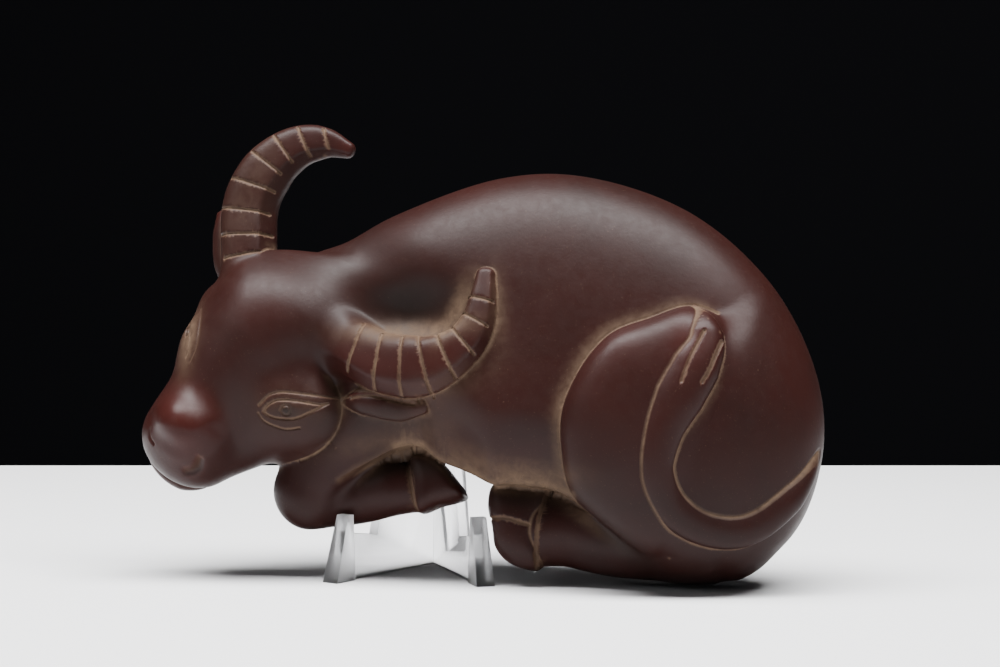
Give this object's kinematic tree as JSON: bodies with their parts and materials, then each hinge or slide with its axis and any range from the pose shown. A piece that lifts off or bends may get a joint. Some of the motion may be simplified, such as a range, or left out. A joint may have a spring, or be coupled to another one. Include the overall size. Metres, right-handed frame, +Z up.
{
  "type": "reclining water buffalo clay figure",
  "caption": "Reclining water buffalo figure of red-brown stoneware clay, flat at the back, leaning on a small clear folding display easel.",
  "frame": {"origin": "on the table, under the middle of the figure and easel together", "axes": "+X along the body from the head to the rump, -Y out of the carved front towards the viewer, +Z up"},
  "size_m": [0.1606, 0.0558, 0.1076],
  "materials": {
    "clay": "satin",
    "clear_acrylic": "gloss"
  },
  "bodies": {
    "root": {"buffalo_figure": "clay", "display_easel": "clear_acrylic"}
  },
  "joints": []
}
